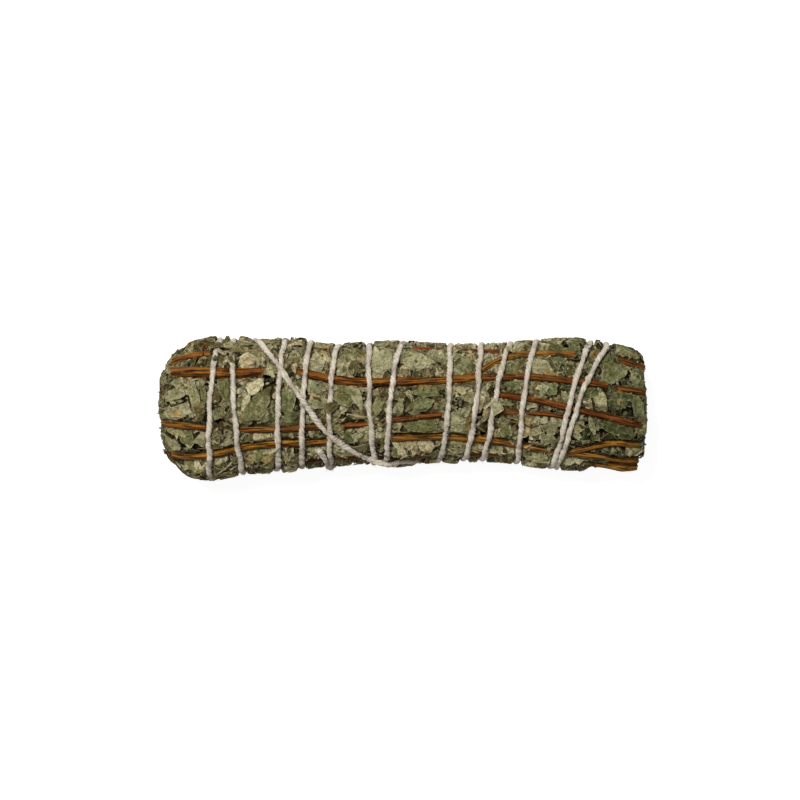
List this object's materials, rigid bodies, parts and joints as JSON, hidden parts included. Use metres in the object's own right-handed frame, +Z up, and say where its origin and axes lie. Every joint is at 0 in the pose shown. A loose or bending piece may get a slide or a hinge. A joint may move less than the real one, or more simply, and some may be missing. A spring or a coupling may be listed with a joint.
{
  "type": "smudge stick",
  "caption": "Dried herb smudge stick lying on its side: crumpled sage leaves and woody stems bound lengthwise with one wound cotton string.",
  "frame": {"origin": "bottom centre of the bounding box, on the surface that the stick lies on", "axes": "+X along the stick from its rounded leafy end to its square cut end, +Y across it, +Z up"},
  "size_m": [0.1102, 0.0335, 0.0291],
  "materials": {
    "dried_sage_leaf": "matt dried grey-green leaf",
    "sage_stem_bark": "dry rust-brown bark with a slight shine",
    "cotton_string": "undyed three-ply cotton"
  },
  "bodies": {
    "root": {"leaf_bunch_1": "dried_sage_leaf", "leaf_bunch_2": "dried_sage_leaf", "leaf_bunch_3": "dried_sage_leaf", "leaf_bunch_4": "dried_sage_leaf", "leaf_bunch_5": "dried_sage_leaf", "leaf_bunch_6": "dried_sage_leaf", "leaf_bunch_7": "dried_sage_leaf", "leaf_bunch_8": "dried_sage_leaf", "leaf_bunch_9": "dried_sage_leaf", "stem_upper_edge": "sage_stem_bark", "stem_main": "sage_stem_bark", "stem_middle_left": "sage_stem_bark", "stem_splinter": "sage_stem_bark", "stem_lower": "sage_stem_bark", "stem_lower_edge": "sage_stem_bark", "stem_back_lower": "sage_stem_bark", "stem_back_upper": "sage_stem_bark", "stem_fork": "sage_stem_bark", "stem_upper_left": "sage_stem_bark", "stem_middle_right": "sage_stem_bark", "stem_lower_right": "sage_stem_bark", "stem_upper_right": "sage_stem_bark", "stem_under_back": "sage_stem_bark", "stem_under_front": "sage_stem_bark", "stem_core_1": "sage_stem_bark", "stem_core_2": "sage_stem_bark", "stem_core_3": "sage_stem_bark", "binding_string": "cotton_string"}
  },
  "joints": []
}
